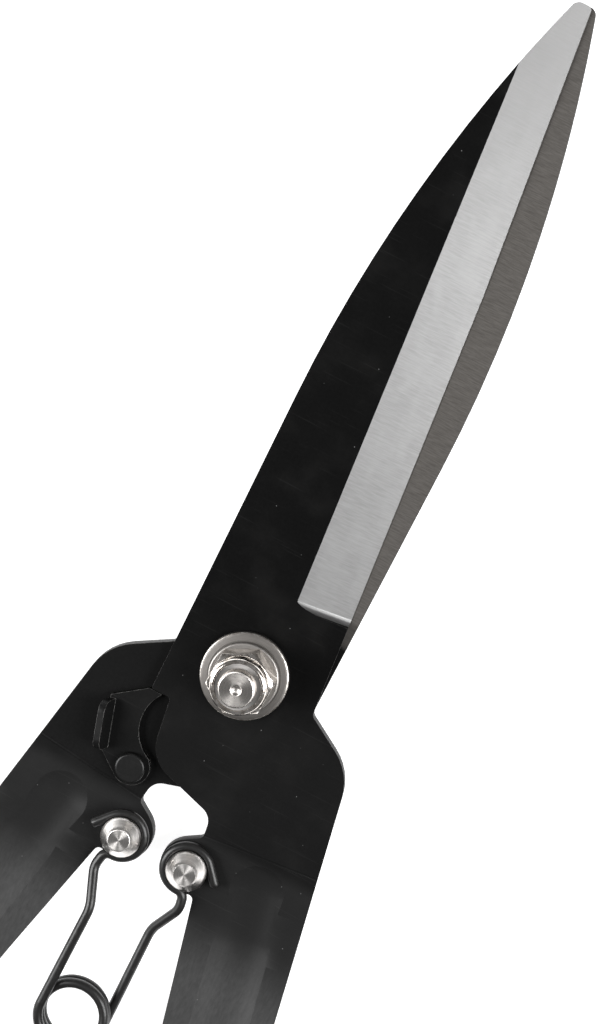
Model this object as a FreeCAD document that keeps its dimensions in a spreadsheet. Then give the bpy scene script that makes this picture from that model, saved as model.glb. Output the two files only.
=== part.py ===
import FreeCAD, Part
import math
import os

import Sketcher

# Grass shears: two stamped steel halves crossing at a bolt, a lock lever and a hairpin torsion spring.
# The blades lie flat with their tips towards +Y and the nut on top. The origin is on the pivot axis,
# at the flat face of the bolt head. In plan every outline is given for the upper half, whose blade
# spine is on -X and whose handle is on +X. The lower half is its mirror image.

Vector = FreeCAD.Vector
Placement = FreeCAD.Placement
Rotation = FreeCAD.Rotation

SIZES = {
    # stamped halves
    "sheet_thick": 3.0,
    "slide_gap": 0.05,
    "blade_length": 158.6,
    "tip_spine": 2.3,
    "tip_edge": 1.25,
    "tip_spine_radius": 1.9,
    "tip_edge_radius": 0.9,
    "spine_side": 17.75,
    "spine_turn": 108.8,
    "spine_radius": 320,
    "edge_side": 8.5,
    "edge_turn": 95,
    "edge_radius": 1800,
    "neck_side": 17.0,
    "neck_level": -1.2,
    "neck_radius": 1.5,
    "shoulder_side": 29.84,
    "shoulder_level": -8.9,
    "shoulder_radius": 12.6,
    "handle_outer": 45.4,
    "handle_inner": 22.3,
    "handle_turn": -92,
    "handle_radius": 150,
    "handle_end": -164,
    "end_outer": 46.0,
    "end_inner": 26.2,
    "end_radius": 8.5,
    "throat_side": 11.3,
    "throat_level": -47.7,
    "throat_radius": 1.2,
    "window_side": 8.0,
    "window_foot": -36.9,
    "window_foot_radius": 1.3,
    "window_top_side": 7.3,
    "window_top": -31.7,
    "window_radius": 3.6,
    "cheek_side": 10.15,
    "cheek_level": -26.4,
    "cheek_radius": 8.2,
    "notch_side": 12.2,
    "notch_level": -12.2,
    "notch_radius": 0.9,
    "spine_foot": 16.8,
    "spine_foot_radius": 0.5,
    # ground bevel
    "bevel_side": 2.95,
    "bevel_start": 18.4,
    "bevel_end_side": -6.9,
    "bevel_end": 140,
    "bevel_angle": 13.2,
    "bevel_runout": 1.6,
    # bends of the handles and their ribs
    "crease_angle": 6.3,
    "crease_level": -37.1,
    "crease_radius": 1.2,
    "score_radius": 0.6,
    "score_depth": 0.12,
    "rise_level": -54,
    "rise_angle": 12,
    "rise_radius": 40,
    "rib_radius": 12.75,
    "rib_depth": 1.5,
    "rib_start_side": 24.0,
    "rib_start": -43.5,
    "rib_bend_side": 26.4,
    "rib_bend": -54,
    "rib_end_side": 33.4,
    "rib_end": -88,
    # pivot
    "bolt_thick": 8.0,
    "bolt_tip": 7.4,
    "bolt_dimple": 2.4,
    "bolt_stand_out": 2.7,
    "head_thick": 4.0,
    "head_wide": 17.0,
    "neck_step": 0.2,
    "square_play": 0.05,
    "pivot_play": 0.05,
    "washer_play": 0.2,
    "thread_play": 0.02,
    "pivot_washer_wide": 19.5,
    "pivot_washer_thick": 1.7,
    "pivot_washer_dish": 0.3,
    "nut_washer_wide": 15.5,
    "nut_washer_thick": 1.5,
    "nut_flats": 13.0,
    "nut_hexagon": 6.0,
    "nut_turn": 27,
    "nut_chamfer": 0.9,
    "collar_wide": 12.4,
    "collar_tall": 3.5,
    "insert_wide": 10.2,
    "insert_tall": 2.0,
    "insert_depth": 0.4,
    # lock lever
    "lever_thick": 1.5,
    "lever_washer_thick": 0.4,
    "lever_play": 0.05,
    "lever_side": 13.2,
    "lever_level": -30.4,
    "lever_hub": 8.4,
    "lever_reach": 0.5,
    "lever_tip_side": 14.25,
    "lever_tip_turn": 17.3,
    "lever_back_side": 24.2,
    "lever_back": -17.9,
    "lever_foot_side": 20.6,
    "lever_foot": -30.0,
    "scoop_side": 6.4,
    "scoop_level": -18.4,
    "scoop_radius": 9.6,
    "tab_tall": 6.5,
    "tab_lean": 14,
    "tab_round": 2.6,
    "rivet_head": 6.7,
    "rivet_head_tall": 1.8,
    "rivet_shank": 4.0,
    "rivet_tail": 6.0,
    "rivet_tail_tall": 0.9,
    # spring posts and spring
    "post_side": 8.06,
    "post_level": -44.5,
    "lug_radius": 6.4,
    "lug_corner": 55,
    "post_head": 9.1,
    "post_rim": 0.5,
    "post_cone": 2.6,
    "post_top": 4.9,
    "post_neck": 7.5,
    "post_shank": 5.0,
    "post_tail": 7.0,
    "post_tail_tall": 1.0,
    "press_play": 0.02,
    "wire_thick": 2.2,
    "hook_height": 0.1,
    "hook_play": 0.1,
    "open_hook_play": 0.3,
    "hook_wrap": 230,
    "hook_tail": 4.5,
    "coil_level": -86.2,
    "coil_radius": 7.3,
    "coil_tall": 5.8,
    "coil_sweep": 320,
    "leg_waist_side": 7.0,
    "leg_waist": -61.5,
    "leg_knee_side": 10.5,
    "leg_knee": -53.5,
    "leg_toe_side": 9.7,
    # grips
    "grip_start": 31.5,
    "grip_wide": 27,
    "grip_thick": 13.5,
    "grip_end_cover": 3.5,
}

doc = FreeCAD.newDocument("grass_shears")
sizes = doc.addObject("Spreadsheet::Sheet", "sizes")
for row, (alias, value) in enumerate(SIZES.items(), start=1):
    sizes.set(f"A{row}", alias)
    sizes.set(f"B{row}", str(value))
    sizes.setAlias(f"B{row}", alias)
doc.recompute()

# Levels above the flat face of the bolt head, as expressions of the sheet.
LOWER_BOTTOM = "sizes.head_thick"
LOWER_TOP = "(sizes.head_thick + sizes.sheet_thick)"
UPPER_BOTTOM = f"({LOWER_TOP} + sizes.slide_gap)"
UPPER_TOP = f"({UPPER_BOTTOM} + sizes.sheet_thick)"
MIDDLE = f"({LOWER_TOP} + sizes.slide_gap / 2)"
HANDLE_TOP = f"({MIDDLE} + sizes.sheet_thick / 2)"
HANDLE_BOTTOM = f"({MIDDLE} - sizes.sheet_thick / 2)"
WASHER_BOTTOM = f"({UPPER_TOP} + sizes.slide_gap)"
WASHER_TOP = f"({WASHER_BOTTOM} + sizes.pivot_washer_thick + sizes.pivot_washer_dish)"
NUT_BOTTOM = f"({WASHER_TOP} + sizes.nut_washer_thick)"
COLLAR_BOTTOM = f"({NUT_BOTTOM} + sizes.nut_hexagon)"
COLLAR_TOP = f"({COLLAR_BOTTOM} + sizes.collar_tall)"
BOLT_END = f"({COLLAR_TOP} + sizes.bolt_stand_out)"
LEVER_BOTTOM = f"({LOWER_TOP} + sizes.lever_washer_thick)"
LEVER_TOP = f"({LEVER_BOTTOM} + sizes.lever_thick)"
HOOK_LEVEL = f"({UPPER_TOP} + sizes.hook_height + sizes.wire_thick / 2)"

# Reach of a tool that stands through every level.
THROUGH_BOTTOM = "-sizes.spine_side"
THROUGH_HEIGHT = "4 * sizes.spine_side"

UPPER = 1
LOWER = -1


def number(expression):
    """The value of an expression of the sheet."""
    return float(sizes.evalExpression(str(expression)))


def bind(item, **expressions):
    """Bind properties to expressions; a double underscore stands for the dot in a property's path."""
    for path, expression in expressions.items():
        item.setExpression(path.replace("__", "."), str(expression))


def draw_polygon(sketch, corners):
    """Closed polygon whose corners, pairs of expressions, stay bound to the sheet."""
    points = [Vector(number(across), number(along), 0) for across, along in corners]
    count = len(points)
    for index in range(count):
        sketch.addGeometry(Part.LineSegment(points[index], points[(index + 1) % count]), False)
    for index in range(count):
        sketch.addConstraint(Sketcher.Constraint("Coincident", index, 2, (index + 1) % count, 1))
    for index, (across, along) in enumerate(corners):
        for kind, expression in (("DistanceX", across), ("DistanceY", along)):
            constraint = Sketcher.Constraint(kind, -1, 1, index, 1, number(expression))
            place = sketch.addConstraint(constraint)
            sketch.setExpression(f"Constraints[{place}]", str(expression))


def turned(name, corners):
    """Body of revolution about its own Z axis from a profile of (radius, level) corners."""
    body = doc.addObject("PartDesign::Body", name)
    sketch = body.newObject("Sketcher::SketchObject", name + "_profile")
    plane = next(item for item in body.Origin.OriginFeatures if item.Role == "XZ_Plane")
    sketch.AttachmentSupport = [(plane, "")]
    sketch.MapMode = "FlatFace"
    draw_polygon(sketch, corners)
    turn = body.newObject("PartDesign::Revolution", name + "_turn")
    turn.Profile = sketch
    turn.ReferenceAxis = (sketch, ["V_Axis"])
    turn.Angle = 360
    doc.recompute()
    return body


def round_circles(body, name, radius, circles):
    """Fillet of the body's circular edges at the given (radius, level) places."""
    wanted = []
    for index, edge in enumerate(body.Shape.Edges, start=1):
        if not isinstance(edge.Curve, Part.Circle):
            continue
        for wide, level in circles:
            same_size = abs(edge.Curve.Radius - number(wide)) < 1e-4
            if same_size and abs(edge.Curve.Center.z - number(level)) < 1e-4:
                wanted.append(f"Edge{index}")
    base = body.Tip
    fillet = body.newObject("PartDesign::Fillet", name)
    fillet.Base = (base, wanted)
    bind(fillet, Radius=radius)
    doc.recompute()


def prism(name, corners, bottom, height, placement=None):
    """Extrusion of a polygon along the sketch's normal, from the level called bottom."""
    sketch = doc.addObject("Sketcher::SketchObject", name + "_outline")
    if placement:
        sketch.Placement = placement
    else:
        bind(sketch, Placement__Base__z=bottom)
    draw_polygon(sketch, corners)
    solid = doc.addObject("Part::Extrusion", name)
    solid.Base = sketch
    solid.DirMode = "Normal"
    solid.Solid = True
    bind(solid, LengthFwd=height)
    doc.recompute()
    return solid


def cylinder(name, radius, height, x="0", y="0", z="0"):
    solid = doc.addObject("Part::Cylinder", name)
    bind(solid, Radius=radius, Height=height)
    bind(solid, Placement__Base__x=x, Placement__Base__y=y, Placement__Base__z=z)
    return solid


def boolean(kind, name, first, *others):
    """Part boolean of two or more objects; kind is Fuse, Cut or Common."""
    if kind == "Cut":
        tool = others[0] if len(others) == 1 else boolean("Fuse", name + "_tools", *others)
        result = doc.addObject("Part::Cut", name)
        result.Base = first
        result.Tool = tool
    else:
        result = doc.addObject("Part::Multi" + kind, name)
        result.Shapes = [first, *others]
    result.Refine = True
    doc.recompute()
    return result


def round_edges(name, base, chosen):
    """Part fillet of the chosen (edge number, radius) pairs."""
    fillet = doc.addObject("Part::Fillet", name)
    fillet.Base = base
    fillet.Edges = [(index, radius, radius) for index, radius in chosen]
    doc.recompute()
    return fillet


def upright_edges(shape, corners):
    """Numbers and radii of the vertical edges that stand at the given (x, y, radius) corners."""
    chosen = []
    for x, y, radius in corners:
        for index, edge in enumerate(shape.Edges, start=1):
            ends = [vertex.Point for vertex in edge.Vertexes]
            if len(ends) == 2 and all(math.hypot(end.x - x, end.y - y) < 0.02 for end in ends):
                chosen.append((index, radius))
    return chosen


def outline_corners(side):
    """Corners of a half's blank as (x, y, radius) expressions, from the tip round by the handle."""
    corners = [
        ("-sizes.tip_spine", "sizes.blade_length", "sizes.tip_spine_radius"),
        ("sizes.tip_edge", "sizes.blade_length", "sizes.tip_edge_radius"),
        ("sizes.edge_side", "sizes.edge_turn", "sizes.edge_radius"),
        ("sizes.neck_side", "sizes.neck_level", "sizes.neck_radius"),
        ("sizes.shoulder_side", "sizes.shoulder_level", "sizes.shoulder_radius"),
        ("sizes.handle_outer", "sizes.handle_turn", "sizes.handle_radius"),
        ("sizes.end_outer", "sizes.handle_end", "sizes.end_radius"),
        ("sizes.end_inner", "sizes.handle_end", "sizes.end_radius"),
        ("sizes.handle_inner", "sizes.handle_turn", "sizes.handle_radius"),
        ("sizes.throat_side", "sizes.throat_level", "0"),
        ("sizes.post_side", "sizes.post_level", "0"),
        (
            "sizes.post_side - sizes.lug_radius * cos(sizes.lug_corner)",
            "sizes.post_level + sizes.lug_radius * sin(sizes.lug_corner)",
            "0",
        ),
        ("sizes.window_side", "sizes.window_foot", "sizes.window_foot_radius"),
        ("sizes.window_top_side", "sizes.window_top", "sizes.window_radius"),
        ("-sizes.cheek_side", "sizes.cheek_level", "sizes.cheek_radius"),
        ("-sizes.notch_side", "sizes.notch_level", "sizes.notch_radius"),
        ("-sizes.spine_foot", "sizes.notch_level", "sizes.spine_foot_radius"),
        ("-sizes.spine_side", "sizes.spine_turn", "sizes.spine_radius"),
    ]
    return [(f"{side} * ({x})", y, radius) for x, y, radius in corners]


def half_levels(side):
    """Bottom and top of a half where it lies flat."""
    return (UPPER_BOTTOM, UPPER_TOP) if side == UPPER else (LOWER_BOTTOM, LOWER_TOP)


def bend_axes(side):
    """Unit vectors along the bend lines and across them towards the tip."""
    angle = math.radians(side * number("sizes.crease_angle"))
    return Vector(math.cos(angle), math.sin(angle), 0), Vector(-math.sin(angle), math.cos(angle), 0)


def bent_strip(name, side, depth):
    """Sheet seen along its bend lines: flat, eased over to the middle level, then rising."""
    bottom, top = half_levels(side)
    far = "(sizes.rise_level - 2 * sizes.spine_side + sizes.handle_end)"
    rise = f"(sizes.rise_level - {far}) * tan(sizes.rise_angle)"
    front = "(sizes.blade_length + sizes.spine_side)"
    upper_line = [
        (front, top),
        ("sizes.crease_level", top),
        ("sizes.rise_level", HANDLE_TOP),
        (far, f"{HANDLE_TOP} + {rise}"),
    ]
    lower_line = [(along, f"{level} - {depth}") for along, level in upper_line]
    along_bend, across_bend = bend_axes(side)
    turn = Rotation(across_bend, Vector(0, 0, 1), along_bend, "ZXY")
    corners = upper_line + lower_line[::-1]
    strip = prism(name + "_sharp", corners, "0", "6 * sizes.spine_side", Placement(Vector(), turn))
    strip.Symmetric = True
    doc.recompute()
    thick = number(depth)
    convex = side == UPPER
    crease = number("sizes.crease_radius")
    rise_bend = number("sizes.rise_radius")
    bends = [
        (upper_line[1], crease + thick if convex else crease),
        (lower_line[1], crease if convex else crease + thick),
        (upper_line[2], rise_bend),
        (lower_line[2], rise_bend + thick),
    ]
    chosen = []
    for (along, level), radius in bends:
        for index, edge in enumerate(strip.Shape.Edges, start=1):
            ends = [vertex.Point for vertex in edge.Vertexes]
            at_level = all(abs(end.z - number(level)) < 1e-3 for end in ends)
            at_bend = all(abs(end.dot(across_bend) - number(along)) < 1e-3 for end in ends)
            if at_level and at_bend:
                chosen.append((index, radius))
    return round_edges(name, strip, chosen)


def top_level(side, x, y):
    """Height of a half's upper face over a point of the plan."""
    along = Vector(x, y, 0).dot(bend_axes(side)[1])
    top = number(half_levels(side)[1])
    handle = number(HANDLE_TOP)
    crease = number("sizes.crease_level")
    rise = number("sizes.rise_level")
    if along >= crease:
        return top
    if along >= rise:
        return top + (handle - top) * (crease - along) / (crease - rise)
    return handle + (rise - along) * math.tan(math.radians(number("sizes.rise_angle")))


def rib_tool(name, side, radius):
    """Round-ended bar that follows the handle and sinks into it by the rib's depth."""
    stations = []
    for place in ("rib_start", "rib_bend", "rib_end"):
        x = side * number(f"sizes.{place}_side")
        y = number(f"sizes.{place}")
        lift = number("sizes.rib_radius - sizes.rib_depth")
        stations.append(Vector(x, y, top_level(side, x, y) + lift))
    pieces = []
    for index, station in enumerate(stations):
        ball = doc.addObject("Part::Sphere", f"{name}_ball_{index}")
        bind(ball, Radius=radius)
        ball.Placement = Placement(station, Rotation())
        pieces.append(ball)
    for index, (start, end) in enumerate(zip(stations, stations[1:])):
        bar = doc.addObject("Part::Cylinder", f"{name}_bar_{index}")
        bind(bar, Radius=radius)
        bar.Height = start.distanceToPoint(end)
        bar.Placement = Placement(start, Rotation(Vector(0, 0, 1), end - start))
        pieces.append(bar)
    return boolean("Fuse", name, *pieces)


def crease_line(name, side):
    """Round bar lying along the crease, which leaves a fine score in the upper face."""
    along_bend, across_bend = bend_axes(side)
    middle = across_bend * number("sizes.crease_level")
    middle.z = number(half_levels(side)[1]) + number("sizes.score_radius - sizes.score_depth")
    bar = doc.addObject("Part::Cylinder", name)
    bind(bar, Radius="sizes.score_radius", Height="4 * sizes.spine_side")
    start = middle - along_bend * number("2 * sizes.spine_side")
    bar.Placement = Placement(start, Rotation(Vector(0, 0, 1), along_bend))
    return bar


def throat_corner(side):
    """Point where the handle's inner edge runs into the round spring lug."""
    foot = Vector(number("sizes.throat_side"), number("sizes.throat_level"), 0)
    turn = Vector(number("sizes.handle_inner"), number("sizes.handle_turn"), 0)
    run = (turn - foot).normalize()
    lug = Vector(number("sizes.post_side"), number("sizes.post_level"), 0)
    middle = (foot - lug).dot(run)
    clear = (foot - lug).dot(foot - lug) - number("sizes.lug_radius") ** 2
    reach = -middle + math.sqrt(middle ** 2 - clear)
    corner = foot + run * reach
    return side * corner.x, corner.y


def blank(name, side):
    """Stamped outline of a half, standing through every level that the half reaches."""
    corners = outline_corners(side)
    plan = [corner[:2] for corner in corners]
    sharp = prism(name + "_sharp", plan, THROUGH_BOTTOM, THROUGH_HEIGHT)
    lug = cylinder(
        name + "_lug", "sizes.lug_radius", THROUGH_HEIGHT,
        f"{side} * sizes.post_side", "sizes.post_level", THROUGH_BOTTOM,
    )
    joined = boolean("Fuse", name + "_joined", sharp, lug)
    rounded = [tuple(number(item) for item in corner) for corner in corners if corner[2] != "0"]
    rounded.append((*throat_corner(side), number("sizes.throat_radius")))
    return round_edges(name, joined, upright_edges(joined.Shape, rounded))


def bevel_tool(name, side):
    """Block that grinds the long bevel; the lower half is ground from below."""
    block = doc.addObject("Part::Box", name + "_block")
    bind(block, Length="2 * sizes.spine_side", Width="sizes.blade_length", Height="sizes.spine_side")
    doc.recompute()
    foot = [
        (index, number("sizes.bevel_runout"))
        for index, edge in enumerate(block.Shape.Edges, start=1)
        if edge.BoundBox.YMax < 1e-6 and edge.BoundBox.ZMax < 1e-6
    ]
    tool = round_edges(name, block, foot)
    face = number("sizes.sheet_thick / 2")
    start = Vector(number("sizes.bevel_side"), number("sizes.bevel_start"), face)
    end = Vector(number("sizes.bevel_end_side"), number("sizes.bevel_end"), face)
    along = (end - start).normalize()
    lean = Rotation(along, number("sizes.bevel_angle"))
    face_up = lean.multVec(Vector(0, 0, 1))
    across = along.cross(face_up)
    grind = Placement(start, Rotation(across, along, face_up, "ZXY"))
    bottom, top = half_levels(side)
    middle = Vector(0, 0, number(f"({bottom} + {top}) / 2"))
    flip = Rotation() if side == UPPER else Rotation(Vector(0, 1, 0), 180)
    tool.Placement = Placement(middle, flip).multiply(grind)
    doc.recompute()
    return tool


def half(name, side, holes):
    """One stamped half with its bends, rib, ground bevel and holes."""
    outline = blank(name + "_blank", side)
    sheet = bent_strip(name + "_sheet", side, "sizes.sheet_thick")
    formed = boolean("Common", name + "_formed", outline, sheet)
    deep = bent_strip(name + "_deep", side, "(3 * sizes.sheet_thick)")
    ridge = rib_tool(name + "_ridge", side, "sizes.rib_radius + sizes.sheet_thick")
    under = boolean("Common", name + "_under", ridge, deep)
    ribbed = boolean("Fuse", name + "_ribbed", formed, under)
    groove = rib_tool(name + "_groove", side, "sizes.rib_radius")
    score = crease_line(name + "_score", side)
    bevel = bevel_tool(name + "_bevel", side)
    return boolean("Cut", name, ribbed, groove, score, bevel, *holes)


def through_hole(name, radius, x="0", y="0"):
    return cylinder(name, radius, THROUGH_HEIGHT, x, y, THROUGH_BOTTOM)


def square_bar(name, width, bottom, height):
    """Square bar about the pivot axis."""
    bar = doc.addObject("Part::Box", name)
    bind(bar, Length=width, Width=width, Height=height)
    bind(bar, Placement__Base__x=f"-({width}) / 2", Placement__Base__y=f"-({width}) / 2")
    bind(bar, Placement__Base__z=bottom)
    return bar


# The two halves

NECK_SQUARE = "sizes.bolt_thick + 2 * sizes.neck_step"
POST_HOLE = "sizes.post_shank / 2"
upper_holes = [
    through_hole("upper_pivot_hole", "sizes.bolt_thick / 2 + sizes.pivot_play"),
    through_hole("upper_post_hole", POST_HOLE, "sizes.post_side", "sizes.post_level"),
]
upper_blade = half("upper_blade", UPPER, upper_holes)

SQUARE_HOLE = f"{NECK_SQUARE} + 2 * sizes.square_play"
RIVET_HOLE = "sizes.rivet_shank / 2 + sizes.press_play"
lower_holes = [
    square_bar("lower_pivot_hole", SQUARE_HOLE, LOWER_BOTTOM, "sizes.sheet_thick"),
    through_hole("lower_post_hole", POST_HOLE, "-sizes.post_side", "sizes.post_level"),
    through_hole("lever_rivet_hole", RIVET_HOLE, "-sizes.lever_side", "sizes.lever_level"),
]
lower_blade = half("lower_blade", LOWER, lower_holes)


# Pivot bolt, washers and lock nut

HEAD_EDGE = "sizes.head_thick / 4"
BOLT_BORE = "sizes.bolt_thick / 2 + sizes.thread_play"
WASHER_BORE = "sizes.bolt_thick / 2 + sizes.washer_play"
END_CHAMFER = "(sizes.bolt_thick - sizes.bolt_tip) / 2"

bolt_turned = turned("bolt_turned", [
    ("0", "0"),
    (f"sizes.head_wide / 2 - {HEAD_EDGE}", "0"),
    ("sizes.head_wide / 2", HEAD_EDGE),
    ("sizes.head_wide / 2", "sizes.head_thick"),
    ("sizes.bolt_thick / 2", "sizes.head_thick"),
    ("sizes.bolt_thick / 2", f"{BOLT_END} - 2 * {END_CHAMFER}"),
    ("sizes.bolt_tip / 2", BOLT_END),
    ("sizes.bolt_dimple / 2", BOLT_END),
    ("0", f"{BOLT_END} - sizes.bolt_dimple / 3"),
])
neck_tall = "sizes.head_thick / 2 + sizes.sheet_thick"
bolt_square = square_bar("bolt_square", NECK_SQUARE, "sizes.head_thick / 2", neck_tall)
pivot_bolt = boolean("Fuse", "pivot_bolt", bolt_turned, bolt_square)

SHOULDER = "(sizes.nut_washer_wide / 2 + sizes.pivot_washer_dish)"
pivot_washer = turned("pivot_washer", [
    (WASHER_BORE, f"{WASHER_BOTTOM} + sizes.pivot_washer_dish"),
    (SHOULDER, f"{WASHER_BOTTOM} + sizes.pivot_washer_dish"),
    ("sizes.pivot_washer_wide / 2", WASHER_BOTTOM),
    ("sizes.pivot_washer_wide / 2", f"{WASHER_BOTTOM} + sizes.pivot_washer_thick"),
    (SHOULDER, WASHER_TOP),
    (WASHER_BORE, WASHER_TOP),
])

nut_washer = turned("nut_washer", [
    (WASHER_BORE, WASHER_TOP),
    ("sizes.nut_washer_wide / 2", WASHER_TOP),
    ("sizes.nut_washer_wide / 2", NUT_BOTTOM),
    (WASHER_BORE, NUT_BOTTOM),
])
washer_rim = [("sizes.nut_washer_wide / 2", NUT_BOTTOM)]
round_circles(nut_washer, "nut_washer_edge", "sizes.nut_washer_thick / 4", washer_rim)

NUT_CORNER = "sizes.nut_flats / sqrt(3)"
INSERT_SEAT = f"{COLLAR_TOP} - sizes.insert_depth - sizes.insert_tall"
nut_turned = turned("nut_turned", [
    (BOLT_BORE, NUT_BOTTOM),
    (NUT_CORNER, NUT_BOTTOM),
    (NUT_CORNER, f"{COLLAR_BOTTOM} - sizes.nut_chamfer"),
    ("sizes.nut_flats / 2 - sizes.nut_chamfer / 4", COLLAR_BOTTOM),
    ("sizes.collar_wide / 2", COLLAR_BOTTOM),
    ("sizes.collar_wide / 2", COLLAR_TOP),
    ("sizes.insert_wide / 2", COLLAR_TOP),
    ("sizes.insert_wide / 2", INSERT_SEAT),
    (BOLT_BORE, INSERT_SEAT),
])
collar_edge = "(sizes.collar_wide - sizes.insert_wide) / 2 * 0.85"
round_circles(nut_turned, "collar_edge", collar_edge, [("sizes.collar_wide / 2", COLLAR_TOP)])
nut_hexagon = doc.addObject("Part::Prism", "nut_hexagon")
nut_hexagon.Polygon = 6
bind(nut_hexagon, Circumradius=NUT_CORNER, Height="sizes.nut_hexagon + sizes.collar_tall")
nut_hexagon.Placement = Placement(Vector(), Rotation(Vector(0, 0, 1), number("sizes.nut_turn")))
bind(nut_hexagon, Placement__Base__z=NUT_BOTTOM)
pivot_nut = boolean("Common", "pivot_nut", nut_turned, nut_hexagon)

nut_insert = turned("nut_insert", [
    (BOLT_BORE, INSERT_SEAT),
    ("sizes.insert_wide / 2", INSERT_SEAT),
    ("sizes.insert_wide / 2", f"{COLLAR_TOP} - sizes.insert_depth"),
    (BOLT_BORE, f"{COLLAR_TOP} - sizes.insert_depth"),
])


# Lock lever, its friction washer and rivet

LEVER_X = "-sizes.lever_side"
LEVER_Y = "sizes.lever_level"
TIP_LEVEL = "sizes.notch_level - sizes.lever_reach"


def on_hub(degrees):
    """Point on the lever hub's rim as a pair of expressions."""
    turn = math.radians(degrees)
    x = f"{LEVER_X} + sizes.lever_hub / 2 * {math.cos(turn):.4f}"
    y = f"{LEVER_Y} + sizes.lever_hub / 2 * {math.sin(turn):.4f}"
    return x, y


lever_corners = [
    ("-sizes.lever_tip_side", TIP_LEVEL),
    ("-sizes.lever_tip_turn", TIP_LEVEL),
    ("-sizes.lever_back_side", "sizes.lever_back"),
    ("-sizes.lever_foot_side", "sizes.lever_foot"),
    on_hub(230),
    on_hub(44),
]
lever_sheet = prism("lever_sheet", lever_corners, LEVER_BOTTOM, "sizes.lever_thick")
lever_hub = cylinder("lever_hub", "sizes.lever_hub / 2", "sizes.lever_thick", LEVER_X, LEVER_Y, LEVER_BOTTOM)
lever_scoop = cylinder(
    "lever_scoop", "sizes.scoop_radius", "sizes.lever_thick",
    "-sizes.scoop_side", "sizes.scoop_level", LEVER_BOTTOM,
)
lever_bore = cylinder(
    "lever_bore", "sizes.rivet_shank / 2 + sizes.lever_play", "sizes.lever_thick",
    LEVER_X, LEVER_Y, LEVER_BOTTOM,
)


def thumb_tab():
    """Flange folded up along the lever's outer edge, leaning outwards, with rounded corners."""
    back = Vector(*(number(item) for item in lever_corners[2]))
    foot = Vector(*(number(item) for item in lever_corners[3]))
    along = (foot - back).normalize()
    outwards = along.cross(Vector(0, 0, 1))
    lean = math.radians(number("sizes.tab_lean"))
    up = Vector(0, 0, math.cos(lean)) + outwards * math.sin(lean)
    thick = number("sizes.lever_thick")
    start = back + along * (thick / 2) - outwards * thick
    start.z = number(LEVER_BOTTOM) + thick * math.sin(lean)
    place = Placement(start, Rotation(along, up, along.cross(up), "ZXY"))
    length = str((foot - back).Length - thick)
    corners = [("0", "0"), (length, "0"), (length, "sizes.tab_tall"), ("0", "sizes.tab_tall")]
    sharp = prism("tab_sharp", corners, "0", "sizes.lever_thick", place)
    chosen = []
    for index, edge in enumerate(sharp.Shape.Edges, start=1):
        middle = place.inverse().multVec(edge.CenterOfMass)
        on_top = middle.y > number("sizes.tab_tall") - 1e-3
        if on_top and abs(edge.Length - thick) < 1e-3:
            chosen.append((index, number("sizes.tab_round")))
    return round_edges("thumb_tab", sharp, chosen)


lever_plate = boolean("Fuse", "lever_plate", lever_sheet, lever_hub, thumb_tab())
lock_lever = boolean("Cut", "lock_lever", lever_plate, lever_scoop, lever_bore)

RIVET_SEAT = f"({LEVER_TOP} + sizes.lever_play)"
lever_rivet = turned("lever_rivet", [
    ("0", f"{LOWER_BOTTOM} - sizes.rivet_tail_tall"),
    ("sizes.rivet_tail / 2", f"{LOWER_BOTTOM} - sizes.rivet_tail_tall"),
    ("sizes.rivet_tail / 2", LOWER_BOTTOM),
    ("sizes.rivet_shank / 2", LOWER_BOTTOM),
    ("sizes.rivet_shank / 2", RIVET_SEAT),
    ("sizes.rivet_head / 2", RIVET_SEAT),
    ("sizes.rivet_head / 2", f"{RIVET_SEAT} + sizes.rivet_head_tall"),
    ("0", f"{RIVET_SEAT} + sizes.rivet_head_tall"),
])
round_circles(lever_rivet, "rivet_edges", "sizes.rivet_tail_tall * 0.6", [
    ("sizes.rivet_head / 2", f"{RIVET_SEAT} + sizes.rivet_head_tall"),
    ("sizes.rivet_tail / 2", f"{LOWER_BOTTOM} - sizes.rivet_tail_tall"),
])
bind(lever_rivet, Placement__Base__x=LEVER_X, Placement__Base__y=LEVER_Y)

lever_washer = turned("lever_washer", [
    ("sizes.rivet_shank / 2 + sizes.lever_play", LOWER_TOP),
    ("sizes.lever_hub / 2", LOWER_TOP),
    ("sizes.lever_hub / 2", f"{LEVER_BOTTOM} - sizes.press_play"),
    ("sizes.rivet_shank / 2 + sizes.lever_play", f"{LEVER_BOTTOM} - sizes.press_play"),
])
bind(lever_washer, Placement__Base__x=LEVER_X, Placement__Base__y=LEVER_Y)


# Spring posts


def spring_post(name, side, blade):
    """Turned post, riveted through the lug and seated on its sloping faces."""
    x = side * number("sizes.post_side")
    seat = top_level(side, x, number("sizes.post_level"))
    slope = number("sizes.sheet_thick / 4")
    bottom = seat - number("sizes.sheet_thick")
    tail = bottom - number("sizes.post_tail_tall")
    ledge = f"({HOOK_LEVEL} + sizes.wire_thick / 2 + sizes.hook_play)"
    post = turned(name + "_turned", [
        ("0", tail),
        ("sizes.post_tail / 2", tail),
        ("sizes.post_tail / 2", bottom + slope),
        ("sizes.post_shank / 2", bottom + slope),
        ("sizes.post_shank / 2", seat - slope),
        ("sizes.post_neck / 2", seat - slope),
        ("sizes.post_neck / 2", ledge),
        ("sizes.post_head / 2", ledge),
        ("sizes.post_head / 2", f"{ledge} + sizes.post_rim"),
        ("sizes.post_top / 2", f"{ledge} + sizes.post_rim + sizes.post_cone"),
        ("0", f"{ledge} + sizes.post_rim + sizes.post_cone"),
    ])
    bind(post, Placement__Base__x=f"{side} * sizes.post_side", Placement__Base__y="sizes.post_level")
    return boolean("Cut", name, post, blade)


upper_spring_post = spring_post("upper_spring_post", UPPER, upper_blade)
lower_spring_post = spring_post("lower_spring_post", LOWER, lower_blade)


# Torsion spring: two hooked legs, each with its half of the coil


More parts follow.
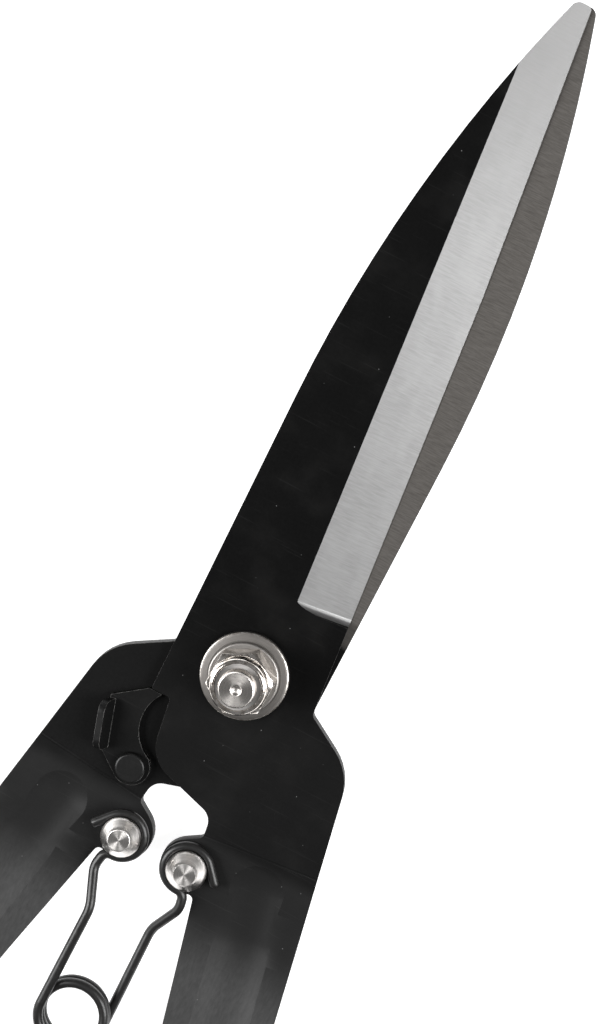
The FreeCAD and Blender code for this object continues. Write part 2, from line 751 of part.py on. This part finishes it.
def arc_about(centre, start, end, through):
    """Circular edge from start to end by way of the direction called through."""
    radius = (start - centre).Length
    return Part.Arc(start, centre + through.normalize() * radius, end).toShape()


def rounded_run(points, radii):
    """Straight runs through the points, with a tangent arc of the given radius at each inner one."""
    edges = []
    reached = points[0]
    for before, corner, after, radius in zip(points, points[1:], points[2:], radii):
        back = (before - corner).normalize()
        ahead = (after - corner).normalize()
        half_angle = back.getAngle(ahead) / 2
        reach = radius / math.tan(half_angle)
        centre = corner + (back + ahead).normalize() * (radius / math.sin(half_angle))
        start = corner + back * reach
        end = corner + ahead * reach
        edges.append(Part.LineSegment(reached, start).toShape())
        edges.append(arc_about(centre, start, end, corner - centre))
        reached = end
    edges.append(Part.LineSegment(reached, points[-1]).toShape())
    return edges


def polar(centre, radius, degrees):
    turn = math.radians(degrees)
    return centre + Vector(radius * math.cos(turn), radius * math.sin(turn), 0)


def spring_arm(name, side, play, coil_side):
    """Wire from the tail round the post's inner side, down the leg and round the coil."""
    wire = number("sizes.wire_thick")
    level = number(HOOK_LEVEL)
    coil = Vector(0, number("sizes.coil_level"), level + coil_side * number("sizes.coil_tall / 2"))
    post = Vector(number("sizes.post_side"), number("sizes.post_level"), level)
    hook = number(f"sizes.post_neck / 2 + {play} + sizes.wire_thick / 2")
    wrap = number("sizes.hook_wrap")
    leave = -90 - wrap
    release = polar(post, hook, leave)
    tail_way = polar(Vector(), 1, leave - 90)
    tail = release + tail_way * number("sizes.hook_tail")
    foot = polar(post, hook, -90)
    coil_radius = number("sizes.coil_radius")
    leg = [
        foot,
        Vector(number("sizes.leg_toe_side"), foot.y, level),
        Vector(number("sizes.leg_knee_side"), number("sizes.leg_knee"), level),
        Vector(number("sizes.leg_waist_side"), number("sizes.leg_waist"), coil.z),
        polar(coil, coil_radius, 0),
    ]
    sweep = number("sizes.coil_sweep")
    coil_end = polar(coil, coil_radius, -sweep)
    edges = [Part.LineSegment(tail, release).toShape()]
    edges.append(arc_about(post, release, foot, polar(Vector(), 1, leave + wrap / 2)))
    edges += rounded_run(leg, (wire * 0.85, wire * 2, wire * 3))
    edges.append(arc_about(coil, leg[-1], coil_end, polar(Vector(), 1, -sweep / 2)))
    path = Part.Wire(edges)
    section = Part.Wire(Part.Circle(tail, tail_way, wire / 2).toShape())
    solid = path.makePipeShell([section], True, False)
    if side == LOWER:
        solid = solid.mirror(Vector(), Vector(1, 0, 0))
    arm = doc.addObject("Part::Feature", name)
    arm.Shape = solid
    print(name, "volume over section times length:", solid.Volume / (math.pi * wire ** 2 / 4 * path.Length))
    return arm


spring_arm_a = spring_arm("spring_arm_a", LOWER, "sizes.hook_play", 1)
spring_arm_b = spring_arm("spring_arm_b", UPPER, "sizes.open_hook_play", -1)


# Grips

# Stations of a grip: share of its length, of its width and of its thickness.
GRIP_STATIONS = (
    (0, 0.90, 0.74),
    (0.03, 0.98, 0.90),
    (0.1, 1.0, 0.96),
    (0.3, 0.97, 0.98),
    (0.6, 1.02, 1.04),
    (0.9, 1.0, 1.0),
    (0.97, 0.96, 0.94),
    (1, 0.84, 0.78),
)


def grip(name, side, blade):
    """Moulded sleeve over the handle's end, lofted through ovals and hollowed by the handle."""
    start_along = number("sizes.rise_level - sizes.grip_start")
    outer = Vector(number("sizes.handle_outer"), number("sizes.handle_turn"), 0)
    inner = Vector(number("sizes.handle_inner"), number("sizes.handle_turn"), 0)
    turn = (outer + inner) / 2
    end_x = number("(sizes.end_outer + sizes.end_inner) / 2")
    end = Vector(end_x, number("sizes.handle_end - sizes.grip_end_cover"), 0)
    way = (end - turn).normalize()
    start = turn + way * ((start_along - turn.y) / way.y)
    for point in (start, end):
        point.x *= side
        point.z = top_level(side, point.x, point.y) - number("sizes.sheet_thick / 2")
    run = end - start
    across = bend_axes(side)[0]
    ovals = []
    for index, (share, wide, thick) in enumerate(GRIP_STATIONS):
        oval = doc.addObject("Part::Ellipse", f"{name}_oval_{index}")
        bind(oval, MajorRadius=f"sizes.grip_wide / 2 * {wide}")
        bind(oval, MinorRadius=f"sizes.grip_thick / 2 * {thick}")
        oval.Placement = Placement(start + run * share, Rotation(across, Vector(), run, "ZXY"))
        ovals.append(oval)
    body = doc.addObject("Part::Loft", name + "_loft")
    body.Sections = ovals
    body.Solid = True
    doc.recompute()
    return boolean("Cut", name, body, blade)


upper_grip = grip("upper_grip", UPPER, upper_blade)
lower_grip = grip("lower_grip", LOWER, lower_blade)


# Check every object, then write each piece

NODES = {
    "upper_blade": upper_blade,
    "lower_blade": lower_blade,
    "pivot_bolt": pivot_bolt,
    "pivot_nut": pivot_nut,
    "nut_insert": nut_insert,
    "nut_washer": nut_washer,
    "pivot_washer": pivot_washer,
    "lock_lever": lock_lever,
    "lever_rivet": lever_rivet,
    "lever_washer": lever_washer,
    "upper_spring_post": upper_spring_post,
    "lower_spring_post": lower_spring_post,
    "spring_arm_a": spring_arm_a,
    "spring_arm_b": spring_arm_b,
    "upper_grip": upper_grip,
    "lower_grip": lower_grip,
}

doc.recompute()
for item in doc.Objects:
    for state in ("Invalid", "Error"):
        if state in item.State:
            raise RuntimeError(f"{item.Label} is {item.State}")
for label, item in NODES.items():
    item.Label = label
    if item.Shape.isNull() or not item.Shape.isValid() or item.Shape.Volume <= 0:
        raise RuntimeError(f"{label} has no valid shape")
    if len(item.Shape.Solids) != 1:
        raise RuntimeError(f"{label} has {len(item.Shape.Solids)} solids")

os.makedirs("parts", exist_ok=True)
for label, item in NODES.items():
    item.Shape.exportStep(f"parts/{label}.step")
    print(label, round(item.Shape.Volume, 1), item.Shape.BoundBox)
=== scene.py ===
import math

import bpy
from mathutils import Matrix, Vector


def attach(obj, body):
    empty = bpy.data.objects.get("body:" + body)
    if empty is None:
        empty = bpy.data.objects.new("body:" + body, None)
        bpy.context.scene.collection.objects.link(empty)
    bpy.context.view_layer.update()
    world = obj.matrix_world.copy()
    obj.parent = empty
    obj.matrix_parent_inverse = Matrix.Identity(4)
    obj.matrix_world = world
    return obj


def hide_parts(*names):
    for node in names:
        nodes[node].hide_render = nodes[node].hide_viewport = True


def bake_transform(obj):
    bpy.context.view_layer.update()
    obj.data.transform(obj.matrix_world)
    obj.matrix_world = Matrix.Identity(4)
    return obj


# Grass shears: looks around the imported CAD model. Lengths in the helpers are in millimetres and the
# scene is in metres; the row frame has its origin at the bolt head's face, +Y to the blade tips and
# +Z to the nut.

MM = 0.001

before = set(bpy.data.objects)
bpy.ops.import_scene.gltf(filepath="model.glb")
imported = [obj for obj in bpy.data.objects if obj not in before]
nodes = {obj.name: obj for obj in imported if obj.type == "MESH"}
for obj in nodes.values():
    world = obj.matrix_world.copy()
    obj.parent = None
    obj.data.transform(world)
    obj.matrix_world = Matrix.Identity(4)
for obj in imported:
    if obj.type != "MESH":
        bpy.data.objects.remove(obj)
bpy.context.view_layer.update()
scene = bpy.context.scene


# Materials. The spans are levels along the shears, in millimetres from the pivot; the body, crease
# and handle spans grade the painted light that makes the steel paler down the handles.

TIP_FADE = (95.0, 150.0)
GROUND_FOOT = (16.0, 18.0)
BODY_FADE = (12.0, -12.0)
CREASE_FADE = (-35.0, -39.0)
HANDLE_FADE = (-52.0, -68.0)


class Shader:
    """A node material on the Principled shader, with object coordinates in millimetres."""

    def __init__(self, name, roughness=0.5, metallic=0.0, coat=0.0, specular=0.5):
        self.material = bpy.data.materials.new(name)
        self.material.use_nodes = True
        self.tree = self.material.node_tree
        self.surface = self.tree.nodes["Principled BSDF"]
        self.surface.inputs["Roughness"].default_value = roughness
        self.surface.inputs["Metallic"].default_value = metallic
        self.surface.inputs["Coat Weight"].default_value = coat
        self.surface.inputs["Specular IOR Level"].default_value = specular
        place = self.add("ShaderNodeTexCoord").outputs["Object"]
        self.place = self.vector("MULTIPLY", place, (1 / MM,) * 3)

    def add(self, kind, **settings):
        node = self.tree.nodes.new(kind)
        for key, value in settings.items():
            setattr(node, key, value)
        return node

    def feed(self, socket, value):
        if isinstance(value, bpy.types.NodeSocket):
            self.tree.links.new(value, socket)
        else:
            socket.default_value = value

    def math(self, operation, *values):
        node = self.add("ShaderNodeMath", operation=operation)
        for socket, value in zip(node.inputs, values):
            self.feed(socket, value)
        return node.outputs[0]

    def vector(self, operation, *values):
        node = self.add("ShaderNodeVectorMath", operation=operation)
        for socket, value in zip(node.inputs, values):
            self.feed(socket, value)
        scalar = operation in ("DOT_PRODUCT", "LENGTH")
        return node.outputs["Value" if scalar else "Vector"]

    def mapped(self, scale, turn=0.0):
        """Texture place stretched along its axes and turned about Z, in degrees."""
        node = self.add("ShaderNodeMapping")
        self.feed(node.inputs["Vector"], self.place)
        node.inputs["Scale"].default_value = scale
        node.inputs["Rotation"].default_value = (0, 0, math.radians(turn))
        return node.outputs["Vector"]

    def along_radius(self, radius, scale):
        """Texture place that only changes with the distance from an axis."""
        node = self.add("ShaderNodeCombineXYZ")
        self.feed(node.inputs[0], self.math("MULTIPLY", radius, scale))
        return node.outputs[0]

    def noise(self, scale, detail=3.0, roughness=0.5, source=None):
        node = self.add("ShaderNodeTexNoise")
        self.feed(node.inputs["Vector"], source or self.place)
        node.inputs["Scale"].default_value = scale
        node.inputs["Detail"].default_value = detail
        node.inputs["Roughness"].default_value = roughness
        return node.outputs["Fac"]

    def specks(self, scale, reach):
        """1 inside small scattered dots, 0 elsewhere."""
        node = self.add("ShaderNodeTexVoronoi")
        self.feed(node.inputs["Vector"], self.place)
        node.inputs["Scale"].default_value = scale
        return self.fade(node.outputs["Distance"], reach, reach * 0.4)

    def fade(self, value, low, high, start=0.0, end=1.0):
        """Smooth step from start at low to end at high."""
        node = self.add("ShaderNodeMapRange", interpolation_type="SMOOTHSTEP")
        if low > high:
            low, high, start, end = high, low, end, start
        for socket, item in zip(node.inputs, (value, low, high, start, end)):
            self.feed(socket, item)
        return node.outputs[0]

    def mix(self, share, first, second):
        node = self.add("ShaderNodeMix", data_type="RGBA")
        self.feed(node.inputs[0], share)
        self.feed(node.inputs[6], first)
        self.feed(node.inputs[7], second)
        return node.outputs[2]

    def spread(self, share, first, second):
        """Number that goes from first to second with share."""
        return self.math("ADD", self.math("MULTIPLY", share, second - first), first)

    def axes(self):
        node = self.add("ShaderNodeSeparateXYZ")
        self.feed(node.inputs[0], self.place)
        return node.outputs

    def bump(self, height, strength, distance, before=None):
        node = self.add("ShaderNodeBump")
        node.inputs["Strength"].default_value = strength
        node.inputs["Distance"].default_value = distance * MM
        self.feed(node.inputs["Height"], height)
        if before is not None:
            self.feed(node.inputs["Normal"], before)
        return node.outputs[0]

    def finish(self, colour=None, roughness=None, normal=None, metallic=None):
        for key, value in (
            ("Base Color", colour),
            ("Roughness", roughness),
            ("Normal", normal),
            ("Metallic", metallic),
        ):
            if value is not None:
                self.feed(self.surface.inputs[key], value)
        return self.material


def grey(level, warm=0.0):
    """Grey of a linear level, a little warmer than neutral."""
    return (level * (1 + warm), level, level * (1 - warm), 1)


def black_steel(name, shine=0.0, worn=0.0, specular=0.1):
    """Oxidised black sheet steel with mottling, scratches and specks, and painted light that makes it
    paler down the handles where they bend up into the light.
    """
    s = Shader(name, specular=specular)
    mottle = s.noise(1.6, 5, 0.65)
    patches = s.noise(0.09, 4, 0.55)
    streaks = s.noise(1.0, 3, 0.6, s.mapped((1.6, 0.5, 1)))
    along = s.axes()[1]
    # Painted light: the steel is painted a little paler below the pivot, more past the crease and
    # most, in streaks, down the handles, for the light the raised handles catch.
    painted_handle_light = s.math("MULTIPLY", s.fade(along, *HANDLE_FADE), s.spread(streaks, 0.25, 0.7))
    painted_handle_light = s.math("ADD", painted_handle_light, s.fade(along, *CREASE_FADE, 0.0, 0.12))
    painted_handle_light = s.math("ADD", painted_handle_light, s.fade(along, *BODY_FADE, 0.0, 0.06))
    scratches = s.fade(s.noise(1.0, 2, 0.4, s.mapped((0.06, 3.2, 0.4), 22)), 0.66, 0.72)
    dust = s.specks(0.3, 0.04)
    tone = s.mix(mottle, grey(0.0008), grey(0.0032))
    tone = s.mix(s.math("MULTIPLY", s.fade(patches, 0.45, 0.75), 0.4), tone, grey(0.009, 0.03))
    # Painted light mixed in here: the paler handles.
    tone = s.mix(painted_handle_light, tone, grey(0.08))
    tone = s.mix(s.math("MULTIPLY", scratches, 0.1), tone, grey(0.06))
    tone = s.mix(dust, tone, grey(0.2))
    if worn:
        rub = s.fade(s.noise(0.8, 4, 0.6), 0.35, 0.62)
        tone = s.mix(s.math("MULTIPLY", rub, worn), tone, grey(0.12, 0.04))
    rough = s.spread(patches, 0.30 - shine, 0.46 - shine)
    rough = s.math("ADD", rough, s.math("MULTIPLY", mottle, 0.1))
    grain = s.bump(mottle, 0.35, 0.06)
    grain = s.bump(streaks, 0.18, 0.05, grain)
    return s.finish(tone, rough, grain)


def ground_steel(name, dark=0.30, light=0.46, turn=-3.0):
    """Bevel ground across the blade: fine cross lines, faint wheel bands, darker to the tip."""
    s = Shader(name, metallic=1.0)
    fine = s.noise(1.0, 3, 0.6, s.mapped((0.25, 6.0, 1.0), turn))
    lines = s.noise(1.0, 2, 0.5, s.mapped((0.06, 2.6, 1.0), turn))
    bands = s.noise(1.0, 2, 0.5, s.mapped((0.05, 0.1, 1.0), turn))
    share = s.math("ADD", s.math("MULTIPLY", fine, 0.5), s.math("MULTIPLY", lines, 0.5))
    tone = s.mix(s.fade(share, 0.3, 0.7), grey(dark, 0.004), grey(light, 0.002))
    tone = s.mix(s.math("MULTIPLY", s.fade(bands, 0.4, 0.7), 0.25), tone, grey(light * 1.15))
    far = s.fade(s.axes()[1], *TIP_FADE, 0.0, 0.7)
    tone = s.mix(far, tone, grey(dark * 0.75, 0.004))
    rough = s.spread(share, 0.38, 0.55)
    return s.finish(tone, rough, s.bump(share, 0.35, 0.03))


def mating_face(name):
    """Inner face of a half: ground bright along the blade and black from near the pivot down."""
    s = Shader(name, specular=0.1)
    along = s.axes()[1]
    edge = s.math("ADD", along, s.math("MULTIPLY", s.noise(0.25, 3), 3.0))
    ground = s.fade(edge, *GROUND_FOOT)
    fine = s.noise(1.0, 4, 0.7, s.mapped((0.3, 4.0, 1.0), 12))
    patches = s.noise(0.12, 4, 0.6)
    steel = s.mix(s.fade(fine, 0.3, 0.7), grey(0.11, 0.07), grey(0.17, 0.06))
    steel = s.mix(s.math("MULTIPLY", patches, 0.3), steel, grey(0.12, 0.1))
    mottle = s.noise(1.6, 5, 0.65)
    paint = s.mix(mottle, grey(0.0025), grey(0.009))
    tone = s.mix(ground, paint, steel)
    rough = s.spread(fine, 0.42, 0.6)
    return s.finish(tone, rough, s.bump(fine, 0.25, 0.03), ground)


def plated(name, level, roughness, warm=0.03):
    """Nickel plate: faint waviness, tiny pits and a little grime in the mottling."""
    s = Shader(name, metallic=1.0)
    haze = s.noise(0.9, 4, 0.6)
    pits = s.specks(1.8, 0.09)
    tone = s.mix(s.fade(haze, 0.35, 0.65), grey(level * 0.6, warm * 2), grey(level * 1.1, warm))
    tone = s.mix(s.math("MULTIPLY", pits, 0.5), tone, grey(level * 0.35, 0.08))
    rough = s.math("ADD", s.math("MULTIPLY", haze, 0.12), roughness - 0.06)
    return s.finish(tone, rough, s.bump(haze, 0.12, 0.05))


def turned(name, x, y, level, roughness, warm=0.03, rings=6.0, cut=0.6):
    """Plated part with the fine rings of the lathe about its own upright axis."""
    s = Shader(name, metallic=1.0)
    s.surface.inputs["Anisotropic"].default_value = cut
    round_axis = s.add("ShaderNodeTangent", direction_type="RADIAL", axis="Z")
    s.feed(s.surface.inputs["Tangent"], round_axis.outputs[0])
    from_axis = s.vector("SUBTRACT", s.place, (x, y, 0))
    flat = s.vector("MULTIPLY", from_axis, (1, 1, 0))
    radius = s.vector("LENGTH", flat)
    wave = s.math("SINE", s.math("MULTIPLY", radius, rings * math.tau))
    haze = s.noise(1.1, 4, 0.6)
    lines = s.noise(1.0, 3, 0.6, s.along_radius(radius, 7.0))
    tone = s.mix(s.fade(lines, 0.3, 0.7), grey(level * 0.7, warm), grey(level * 1.08, warm))
    tone = s.mix(s.math("MULTIPLY", s.fade(haze, 0.55, 0.8), 0.3), tone, grey(level * 0.5, warm * 2))
    rough = s.math("ADD", s.math("MULTIPLY", haze, 0.14), roughness - 0.07)
    grooves = s.bump(wave, 0.02, 0.01)
    return s.finish(tone, rough, s.bump(lines, 0.04, 0.02, grooves))


def vinyl(name):
    """Soft dipped vinyl with a fine leathery grain."""
    s = Shader(name, specular=0.3)
    grain = s.noise(1.4, 4, 0.6)
    broad = s.noise(0.06, 3)
    pores = s.specks(0.9, 0.3)
    tone = s.mix(broad, grey(0.01), grey(0.018))
    tone = s.mix(s.math("MULTIPLY", grain, 0.3), tone, grey(0.03, 0.02))
    rough = s.spread(grain, 0.45, 0.62)
    fine = s.bump(grain, 0.4, 0.12)
    return s.finish(tone, rough, s.bump(pores, 0.15, 0.08, fine))


def dress(obj, *materials):
    obj.data.materials.clear()
    for material in materials:
        obj.data.materials.append(material)


WELD_REACH = 0.002
FLAT_ANGLE = 0.05


def ease_edges(obj, width, angle=28.0, segments=3, material=-1):
    """Welds a CAD mesh, joins its flat faces and rounds its sharp edges by a width in millimetres."""
    weld = obj.modifiers.new("weld", "WELD")
    weld.merge_threshold = WELD_REACH * MM
    flat = obj.modifiers.new("flat", "DECIMATE")
    flat.decimate_type = "DISSOLVE"
    flat.angle_limit = math.radians(FLAT_ANGLE)
    flat.delimit = {"MATERIAL"}
    bevel = obj.modifiers.new("edges", "BEVEL")
    bevel.width = width * MM
    bevel.segments = segments
    bevel.limit_method = "ANGLE"
    bevel.angle_limit = math.radians(angle)
    bevel.use_clamp_overlap = True
    bevel.harden_normals = True
    bevel.miter_outer = "MITER_ARC"
    bevel.material = material


# Halves

STEEL = black_steel("steel_black")
EDGE = black_steel("steel_edge", shine=0.04, worn=0.5, specular=0.5)
LEVER_EDGE = black_steel("lever_edge", shine=0.1, worn=0.9, specular=0.6)
BEVEL = ground_steel("ground_bevel", 0.25, 0.32)
MATING = mating_face("mating_face")
RUNOUT = ground_steel("ground_runout", 0.14, 0.2)
BEVEL_START = 16
RUNOUT_SPAN = (15.5, 21)
MATING_END = -36
HALF_EDGE = 0.4
HALF_EDGE_ANGLE = 55

# How far a face looks away from the mating face: 1 straight away, -1 straight at it.
BEVEL_TILT = math.cos(math.radians(13.2))
TILT_SLACK = 0.012
RUNOUT_TILT = (0.3, 0.985)
RUNOUT_SIDE = 0.6
MATING_TILT = -0.999
HALF_SLOTS = (STEEL, EDGE, BEVEL, MATING, RUNOUT)


def dress_half(name, side):
    """Black sheet with a ground bevel outside, a ground mating face inside and worn edges."""
    obj = nodes[name]
    dress(obj, *HALF_SLOTS)
    for polygon in obj.data.polygons:
        up = polygon.normal.z * side
        along = polygon.center.y / MM
        by_foot = RUNOUT_SPAN[0] < along < RUNOUT_SPAN[1]
        leaning = RUNOUT_TILT[0] < up < RUNOUT_TILT[1]
        if along > BEVEL_START and abs(up - BEVEL_TILT) < TILT_SLACK:
            slot = BEVEL
        elif by_foot and leaning and abs(polygon.normal.x) < RUNOUT_SIDE:
            slot = RUNOUT
        elif up < MATING_TILT and along > MATING_END:
            slot = MATING
        else:
            slot = STEEL
        polygon.material_index = HALF_SLOTS.index(slot)
    ease_edges(obj, HALF_EDGE, angle=HALF_EDGE_ANGLE, material=HALF_SLOTS.index(EDGE))


dress_half("upper_blade", 1)
dress_half("lower_blade", -1)


# Pivot, lever and posts

POST_X = 8.06
POST_Y = -44.5

dress(nodes["pivot_bolt"], turned("bolt_plate", 0, 0, 0.8, 0.28, 0.05, cut=0.8))
dress(nodes["pivot_nut"], plated("nut_plate", 0.86, 0.14, 0.05))
dress(nodes["nut_insert"], turned("insert_steel", 0, 0, 0.5, 0.4))
dress(nodes["nut_washer"], turned("washer_bright", 0, 0, 0.42, 0.42, 0.05, cut=0.2))
WASHER = turned("washer_satin", 0, 0, 0.21, 0.5, 0.06, rings=3.0, cut=0.1)
dress(nodes["pivot_washer"], WASHER, plated("washer_rim", 0.7, 0.3, 0.05))
dress(nodes["lever_washer"], plated("washer_thin", 0.55, 0.35))
dress(nodes["lock_lever"], STEEL, LEVER_EDGE)
dress(nodes["lever_rivet"], black_steel("rivet_black", shine=0.1, specular=0.4))
dress(nodes["upper_spring_post"], turned("post_right", POST_X, POST_Y, 0.92, 0.3, 0.035, cut=0.9))
dress(nodes["lower_spring_post"], turned("post_left", -POST_X, POST_Y, 0.92, 0.3, 0.035, cut=0.9))
ease_edges(nodes["lock_lever"], 0.3, material=1)
ease_edges(nodes["pivot_washer"], 0.3, material=1)
for name in ("pivot_nut", "pivot_bolt", "nut_insert"):
    ease_edges(nodes[name], 0.12, segments=2)
for name in ("upper_spring_post", "lower_spring_post"):
    ease_edges(nodes[name], 0.15, segments=2)

VINYL = vinyl("grip_vinyl")
for name in ("upper_grip", "lower_grip"):
    dress(nodes[name], VINYL)
    ease_edges(nodes[name], 1.0, angle=50, segments=4)


# Spring: one wire, shown as two legs and the coil between them

WIRE = 2.2
POST_NECK = 7.5
HOOK_LEVEL = 11.25
HOOK_WRAP = 230
HOOK_TAIL = 4.5
HOOK_PLAY = 0.1
OPEN_HOOK_PLAY = 0.3
COIL_Y = -86.2
COIL_RADIUS = 7.3
COIL_TALL = 5.8
COIL_TURNS = 2.5
LEG_TOE_SIDE = 9.7
LEG_KNEE = (10.5, -53.5)
LEG_WAIST = (7.0, -61.5)
LEG_BENDS = (WIRE * 0.85, WIRE * 2, WIRE * 3)
RING = 28
STEP = 0.35
DOME = 0.55
DOME_TURNS = (24, 48, 72)


def tube(name, points, start_cap):
    """Round wire along a fine run of points, as a mesh with a domed start where it is cut."""
    radius = WIRE / 2
    ways = []
    for index in range(len(points)):
        before = points[max(index - 1, 0)]
        after = points[min(index + 1, len(points) - 1)]
        ways.append((after - before).normalized())
    side = ways[0].orthogonal().normalized()
    stations = []
    for index, (point, way) in enumerate(zip(points, ways)):
        side = (side - way * side.dot(way)).normalized()
        stations.append((point, way, side, radius))
    dome = []
    for degrees in DOME_TURNS:
        turn = math.radians(degrees)
        dome.append((radius * DOME * math.sin(turn), radius * (1 - DOME + DOME * math.cos(turn))))
    if start_cap:
        point, way, side, _ = stations[0]
        stations = [(point - way * out, way, side, wide) for out, wide in dome[::-1]] + stations
    vertices = []
    for point, way, side, wide in stations:
        other = way.cross(side)
        for turn in range(RING):
            angle = math.tau * turn / RING
            vertices.append((point + (side * math.cos(angle) + other * math.sin(angle)) * wide) * MM)
    faces = []
    for row in range(len(stations) - 1):
        for turn in range(RING):
            first = row * RING + turn
            second = row * RING + (turn + 1) % RING
            faces.append((first, second, second + RING, first + RING))
    if start_cap:
        faces.append(tuple(range(RING))[::-1])
    mesh = bpy.data.meshes.new(name)
    mesh.from_pydata(vertices, [], faces)
    mesh.update()
    for polygon in mesh.polygons:
        polygon.use_smooth = len(polygon.vertices) == 4
    obj = bpy.data.objects.new(name, mesh)
    scene.collection.objects.link(obj)
    return obj


def arc(centre, radius, start, end, level):
    """Points of a level arc, angles in degrees."""
    count = max(2, round(abs(math.radians(end - start)) * radius / STEP))
    points = []
    for index in range(count + 1):
        turn = math.radians(start + (end - start) * index / count)
        across = centre[0] + radius * math.cos(turn)
        along = centre[1] + radius * math.sin(turn)
        points.append(Vector((across, along, level)))
    return points


def rounded(corners, radii):
    """Fine run of points through the corners, with a tangent arc at each inner one."""
    anchors = [corners[0]]
    for before, corner, after, radius in zip(corners, corners[1:], corners[2:], radii):
        back = (before - corner).normalized()
        ahead = (after - corner).normalized()
        half_angle = back.angle(ahead) / 2
        reach = radius / math.tan(half_angle)
        centre = corner + (back + ahead).normalized() * (radius / math.sin(half_angle))
        start = (corner + back * reach - centre).normalized()
        end = (corner + ahead * reach - centre).normalized()
        count = max(4, round(start.angle(end) * radius / STEP))
        anchors += [centre + start.slerp(end, index / count) * radius for index in range(count + 1)]
    anchors.append(corners[-1])
    points = [anchors[0]]
    for target in anchors[1:]:
        gap = target - points[-1]
        count = max(1, round(gap.length / STEP))
        origin = points[-1].copy()
        points += [origin + gap * (index + 1) / count for index in range(count)]
    return points


def leg_points(side, play, level):
    """Centreline of a leg from its tail, round the post's inner side and down to the coil."""
    post = (POST_X, POST_Y)
    hook = POST_NECK / 2 + play + WIRE / 2
    leave = -90 - HOOK_WRAP
    hook_run = arc(post, hook, leave, -90, HOOK_LEVEL)
    turn = math.radians(leave - 90)
    tail_way = Vector((math.cos(turn), math.sin(turn), 0))
    tail = [hook_run[0] + tail_way * (HOOK_TAIL * share) for share in (1, 0.8, 0.6, 0.4, 0.2)]
    foot = hook_run[-1]
    corners = [
        foot,
        Vector((LEG_TOE_SIDE, foot.y, HOOK_LEVEL)),
        Vector((*LEG_KNEE, HOOK_LEVEL)),
        Vector((*LEG_WAIST, level)),
        Vector((COIL_RADIUS, COIL_Y, level)),
    ]
    leg = rounded(corners, LEG_BENDS)
    points = tail + hook_run + leg[1:]
    return [Vector((side * point.x, point.y, point.z)) for point in points]


def coil_points(start_level, end_level):
    """Helix from the left leg, turning anticlockwise down to the right leg."""
    count = round(COIL_TURNS * math.tau * COIL_RADIUS / STEP)
    points = []
    for index in range(count + 1):
        share = index / count
        turn = math.pi + math.tau * COIL_TURNS * share
        level = start_level + (end_level - start_level) * share
        across = COIL_RADIUS * math.cos(turn)
        along = COIL_Y + COIL_RADIUS * math.sin(turn)
        points.append(Vector((across, along, level)))
    return points


def spring_finish(name):
    """Black oiled wire: smudges and rubbed spots."""
    s = Shader(name, coat=0.15)
    mottle = s.noise(1.8, 4, 0.6)
    rub = s.fade(s.noise(0.45, 3, 0.5), 0.58, 0.75)
    tone = s.mix(mottle, grey(0.004), grey(0.014, 0.03))
    tone = s.mix(s.math("MULTIPLY", rub, 0.3), tone, grey(0.05, 0.06))
    rough = s.spread(mottle, 0.3, 0.46)
    return s.finish(tone, rough, s.bump(mottle, 0.3, 0.05))


HIGH = HOOK_LEVEL + COIL_TALL / 2
LOW = HOOK_LEVEL - COIL_TALL / 2
spring_steel = spring_finish("spring_wire_black")
leg_a = tube("spring_leg_left", leg_points(-1, HOOK_PLAY, HIGH), True)
leg_b = tube("spring_leg_right", leg_points(1, OPEN_HOOK_PLAY, LOW), True)
coil = tube("spring_coil", coil_points(HIGH, LOW), False)
for obj in (leg_a, leg_b, coil):
    dress(obj, spring_steel)
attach(leg_a, "spring_leg_a")
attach(leg_b, "spring_leg_b")
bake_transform(coil)
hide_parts("spring_arm_a")
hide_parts("spring_arm_b")


# Floor, light and camera, in metres except for the camera's place

FLOOR_REACH = 12.0
FLOOR_GLOW = 0.85
SKY_GLOW = 0.16
LIT_POINT = (0, 0.01, 0.01)
LENS = 84.375
SENSOR = 36


def pale_floor():
    mesh = bpy.data.meshes.new("floor")
    wide = FLOOR_REACH
    corners = [(-wide, -wide, 0), (wide, -wide, 0), (wide, wide, 0), (-wide, wide, 0)]
    mesh.from_pydata(corners, [], [(0, 1, 2, 3)])
    floor = bpy.data.objects.new("floor", mesh)
    scene.collection.objects.link(floor)
    s = Shader("floor_pale", roughness=0.9, specular=0.0)
    tone = s.mix(s.noise(0.004, 2), grey(0.88), grey(0.9))
    s.surface.inputs["Emission Color"].default_value = grey(1.0)
    s.surface.inputs["Emission Strength"].default_value = FLOOR_GLOW
    dress(floor, s.finish(tone))


def soft_light(name, place, wide, tall, power):
    """Rectangular lamp turned to the middle of the shears."""
    lamp = bpy.data.lights.new(name, "AREA")
    lamp.shape = "RECTANGLE"
    lamp.size = wide
    lamp.size_y = tall
    lamp.energy = power
    obj = bpy.data.objects.new(name, lamp)
    scene.collection.objects.link(obj)
    obj.location = place
    obj.rotation_euler = (Vector(LIT_POINT) - Vector(place)).to_track_quat("-Z", "Y").to_euler()


def studio():
    world = bpy.data.worlds.new("studio")
    scene.world = world
    world.use_nodes = True
    back = world.node_tree.nodes["Background"]
    back.inputs["Color"].default_value = (1, 1, 1, 1)
    back.inputs["Strength"].default_value = SKY_GLOW
    soft_light("left", (-0.85, -0.25, 0.75), wide=0.5, tall=0.9, power=14)
    soft_light("right", (0.85, 0.35, 0.85), wide=0.6, tall=0.9, power=15)


CAMERA_PLACE = (9.381, 124.859, 515.093)
CAMERA_TURN = (-8.02691, 5.96472, 26.65178)


def camera():
    lens = bpy.data.cameras.new("camera")
    lens.sensor_width = SENSOR
    lens.lens = LENS
    lens.clip_start = 0.01
    lens.clip_end = 20
    obj = bpy.data.objects.new("camera", lens)
    scene.collection.objects.link(obj)
    obj.location = Vector(CAMERA_PLACE) * MM
    obj.rotation_euler = [math.radians(turn) for turn in CAMERA_TURN]
    scene.camera = obj


pale_floor()
studio()
camera()
scene.view_settings.view_transform = "Standard"

bpy.context.view_layer.update()
